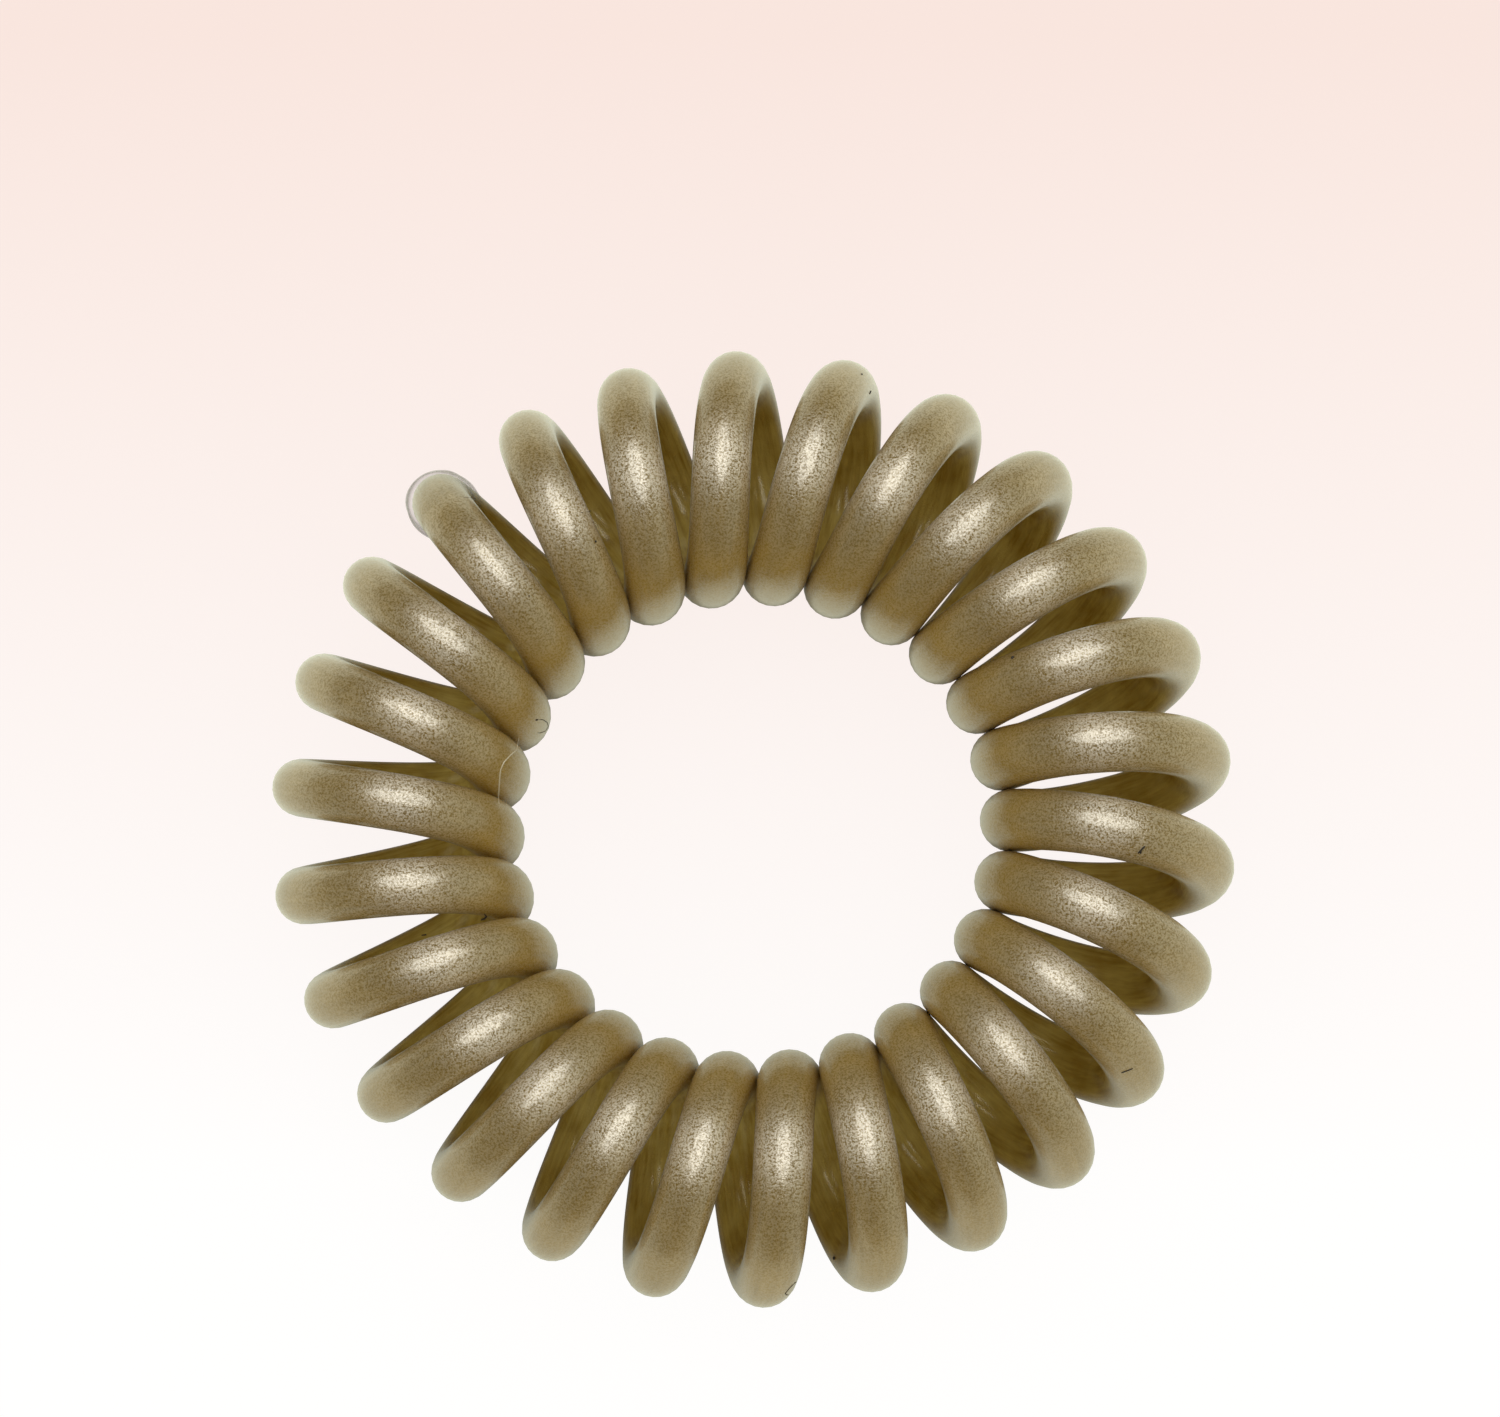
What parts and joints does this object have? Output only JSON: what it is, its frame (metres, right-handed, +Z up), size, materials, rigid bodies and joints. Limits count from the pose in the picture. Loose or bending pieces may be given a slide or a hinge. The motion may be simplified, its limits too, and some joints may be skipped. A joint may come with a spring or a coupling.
{
  "type": "spiral hair tie",
  "caption": "Coiled elastic hair tie: a round pearly plastic strand wound in a helix round a ring, its ends joined in a short clear sleeve.",
  "frame": {"origin": "on the ring's axis, at the height of the lowest turns, which is the surface that the tie lies on", "axes": "+Z up along the ring's axis, out of the face that the picture shows; +Y towards the top of the picture and +X to its right"},
  "size_m": [0.0346, 0.0348, 0.0092],
  "materials": {
    "pearl_strand": "satin",
    "clear_sleeve": "gloss"
  },
  "bodies": {
    "root": {"coil_strand": "pearl_strand", "join_sleeve": "clear_sleeve"}
  },
  "joints": []
}
